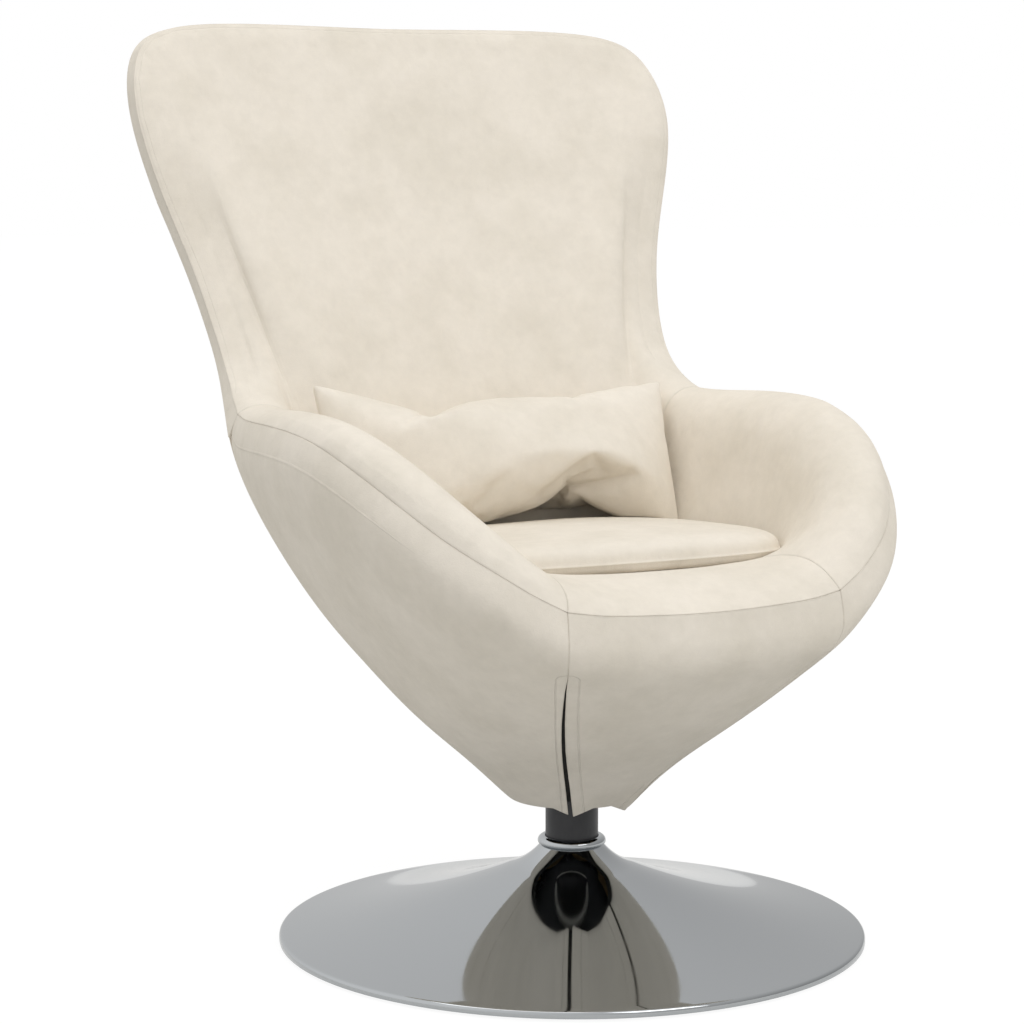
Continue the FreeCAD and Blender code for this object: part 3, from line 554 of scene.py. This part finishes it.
seat_mesh = seat_cushion_form()
kept_clear(seat_mesh, [FABRICS[n] for n in ("right_arm_pad", "left_arm_pad", "front_lip_pad", "back_pad")],
           0.8 * MM)
plain_surface(seat_mesh)
SEAT = add_piece("seat_cushion_fabric", seat_mesh, VELVET, "seat_cushion", ["seat_cushion"])

pillow_mesh = lumbar_pillow_form()
rest_on(pillow_mesh, SEAT, 0.8 * MM)
kept_clear(pillow_mesh, [FABRICS[n] for n in ("right_arm_pad", "left_arm_pad", "back_pad")], 0.8 * MM)
plain_surface(pillow_mesh)
PILLOW = add_piece("lumbar_pillow_fabric", pillow_mesh, VELVET, "lumbar_pillow",
                   ["lumbar_pillow"])


# Foot

def arc(start, end, radius, runs):
    """Points after start on the arc to end; a minus swells it the other way."""
    half = (end - start) / 2
    side = Vector((-half.y, half.x)).normalized() * math.copysign(1, radius)
    centre = start + half + side * math.sqrt(radius * radius - half.dot(half))
    turn = (start - centre).angle_signed(end - centre)
    points = []
    for k in range(1, runs + 1):
        spoke = (start - centre).copy()
        spoke.rotate(Matrix.Rotation(-turn * k / runs, 2))
        points.append(centre + spoke)
    return points


def trumpet_line(depth):
    """The spun cover's profile as (radius, height) in mm, a depth inside its outer face."""
    line = [Vector((300 - depth, 3)), Vector((300 - depth, 6.5))]
    line += arc(line[-1], Vector((296.5, 10 - depth)), 3.5 - depth, 4)
    line += arc(line[-1], Vector((66 - depth * 0.4, 73 - depth)), -911 - depth, 30)
    line += arc(line[-1], Vector((31.5 - depth, 98)), -75 - depth, 14)
    return line


def turned(line, name, node):
    """A chromed piece of the foot: its closed profile turned about the column."""
    bm = bmesh.new()
    corners = [bm.verts.new((p.x * MM, 0, p.y * MM)) for p in line]
    edges = [bm.edges.new((a, b)) for a, b in zip(corners, corners[1:] + corners[:1])]
    bmesh.ops.spin(bm, geom=corners + edges, cent=(0, 0, 0), axis=(0, 0, 1), dvec=(0, 0, 0),
                   angle=2 * math.pi, steps=192, use_merge=True, use_duplicate=False)
    bmesh.ops.remove_doubles(bm, verts=bm.verts, dist=0.01 * MM)
    bmesh.ops.recalc_face_normals(bm, faces=bm.faces)
    mesh = bpy.data.meshes.new(name)
    bm.to_mesh(mesh)
    bm.free()
    return add_piece(name, mesh, CHROME, "base", [node])


COLLAR_LINE = [Vector(corner) for corner in (
    (27.05, 98), (31, 98), (34, 98.1), (34.7, 98.7), (35, 99.8), (34.9, 101.2), (34.3, 102.8),
    (33.2, 104.2), (31.6, 105.3), (29.6, 105.9), (27.7, 106), (27.2, 105.6), (27.05, 104.8))]
turned(trumpet_line(0) + trumpet_line(2)[::-1], "trumpet_cover_spun", "trumpet_cover")
turned(COLLAR_LINE, "collar_ring_polished", "collar_ring")


# Studio

def add_stage():
    """A plain white floor that shows the object's shadow."""
    bm = bmesh.new()
    bmesh.ops.create_grid(bm, x_segments=1, y_segments=1, size=30)
    mesh = bpy.data.meshes.new("studio_floor")
    bm.to_mesh(mesh)
    bm.free()
    floor = bpy.data.objects.new("studio_floor", mesh)
    bpy.context.scene.collection.objects.link(floor)
    material = new_material("white_studio_floor")
    seen = add(material, "ShaderNodeLightPath")
    mirrored = add(material, "ShaderNodeMath", {"operation": "MULTIPLY", 1: 0.55},
                   Value=seen.outputs["Is Glossy Ray"])
    seen_or_mirrored = add(material, "ShaderNodeMath", {"operation": "MAXIMUM"})
    for socket, source in zip(seen_or_mirrored.inputs, (seen.outputs["Is Camera Ray"], mirrored.outputs[0])):
        material.node_tree.links.new(source, socket)
    lit = add(material, "ShaderNodeBsdfDiffuse", {"Color": linear("#D4D4D2")})
    paper = add(material, "ShaderNodeEmission", {"Color": linear("#FFFFFF"), "Strength": 1.12})
    shown = add(material, "ShaderNodeMixShader", {"Fac": 0.82})
    material.node_tree.links.new(lit.outputs[0], shown.inputs[1])
    material.node_tree.links.new(paper.outputs[0], shown.inputs[2])
    floor_look = add(material, "ShaderNodeMixShader", Fac=seen_or_mirrored.outputs[0])
    material.node_tree.links.new(lit.outputs[0], floor_look.inputs[1])
    material.node_tree.links.new(shown.outputs[0], floor_look.inputs[2])
    mesh.materials.append(output(material, floor_look))


def add_light(name, place, target, width, height, power):
    lamp = bpy.data.lights.new(name, "AREA")
    lamp.shape = "RECTANGLE"
    lamp.size, lamp.size_y = width, height
    lamp.energy = power
    light = bpy.data.objects.new(name, lamp)
    light.location = place
    light.rotation_euler = (Vector(target) - Vector(place)).to_track_quat("-Z", "Y").to_euler()
    bpy.context.scene.collection.objects.link(light)


def add_world(level):
    """An even white surround: plain white where it is seen, with a brighter left side in reflections."""
    world = bpy.data.worlds.new("studio_surround")
    world.use_nodes = True
    world.node_tree.nodes.clear()
    path = add(world, "ShaderNodeLightPath")
    toward = add(world, "ShaderNodeTexCoord").outputs["Generated"]
    across = add(world, "ShaderNodeVectorMath", {"operation": "DOT_PRODUCT", 1: (-0.85, 0.25, 0.45)})
    world.node_tree.links.new(toward, across.inputs[0])
    mirrored = add(world, "ShaderNodeMapRange", {"From Min": -0.8, "From Max": 0.9, "To Min": 0.42,
                                                 "To Max": 1.0}, Value=across.outputs["Value"])
    unseen = add(world, "ShaderNodeMapRange", {"To Min": level}, Value=path.outputs["Is Glossy Ray"])
    world.node_tree.links.new(mirrored.outputs["Result"], unseen.inputs["To Max"])
    strength = add(world, "ShaderNodeMapRange", {"To Max": 1.0}, Value=path.outputs["Is Camera Ray"])
    world.node_tree.links.new(unseen.outputs["Result"], strength.inputs["To Min"])
    background = add(world, "ShaderNodeBackground", {"Color": linear("#FFFFFF")},
                     Strength=strength.outputs["Result"])
    add(world, "ShaderNodeOutputWorld", Surface=background.outputs[0])
    bpy.context.scene.world = world


def add_camera():
    """The photograph's view: a long lens from the front left, a little above the arms."""
    place, yaw, pitch = Vector((-1.36292, -2.45876, 0.78034)), 0.48435, 0.12100
    camera = bpy.data.cameras.new("photo_view")
    camera.lens = 98.44
    camera.sensor_width = 36
    view = bpy.data.objects.new("photo_view", camera)
    view.location = place
    view.rotation_euler = (math.pi / 2 - pitch, 0, -yaw)
    bpy.context.scene.collection.objects.link(view)
    bpy.context.scene.camera = view


add_stage()
add_world(0.73)
add_light("key_softbox", (0.6, -2.8, 3.2), (0, 0, 0.5), 2.0, 2.0, 35)
add_light("top_softbox", (-0.4, 0.4, 3.2), (0, 0, 0.4), 2.4, 2.0, 20)
add_camera()
scene = bpy.context.scene
scene.view_settings.view_transform = "Standard"
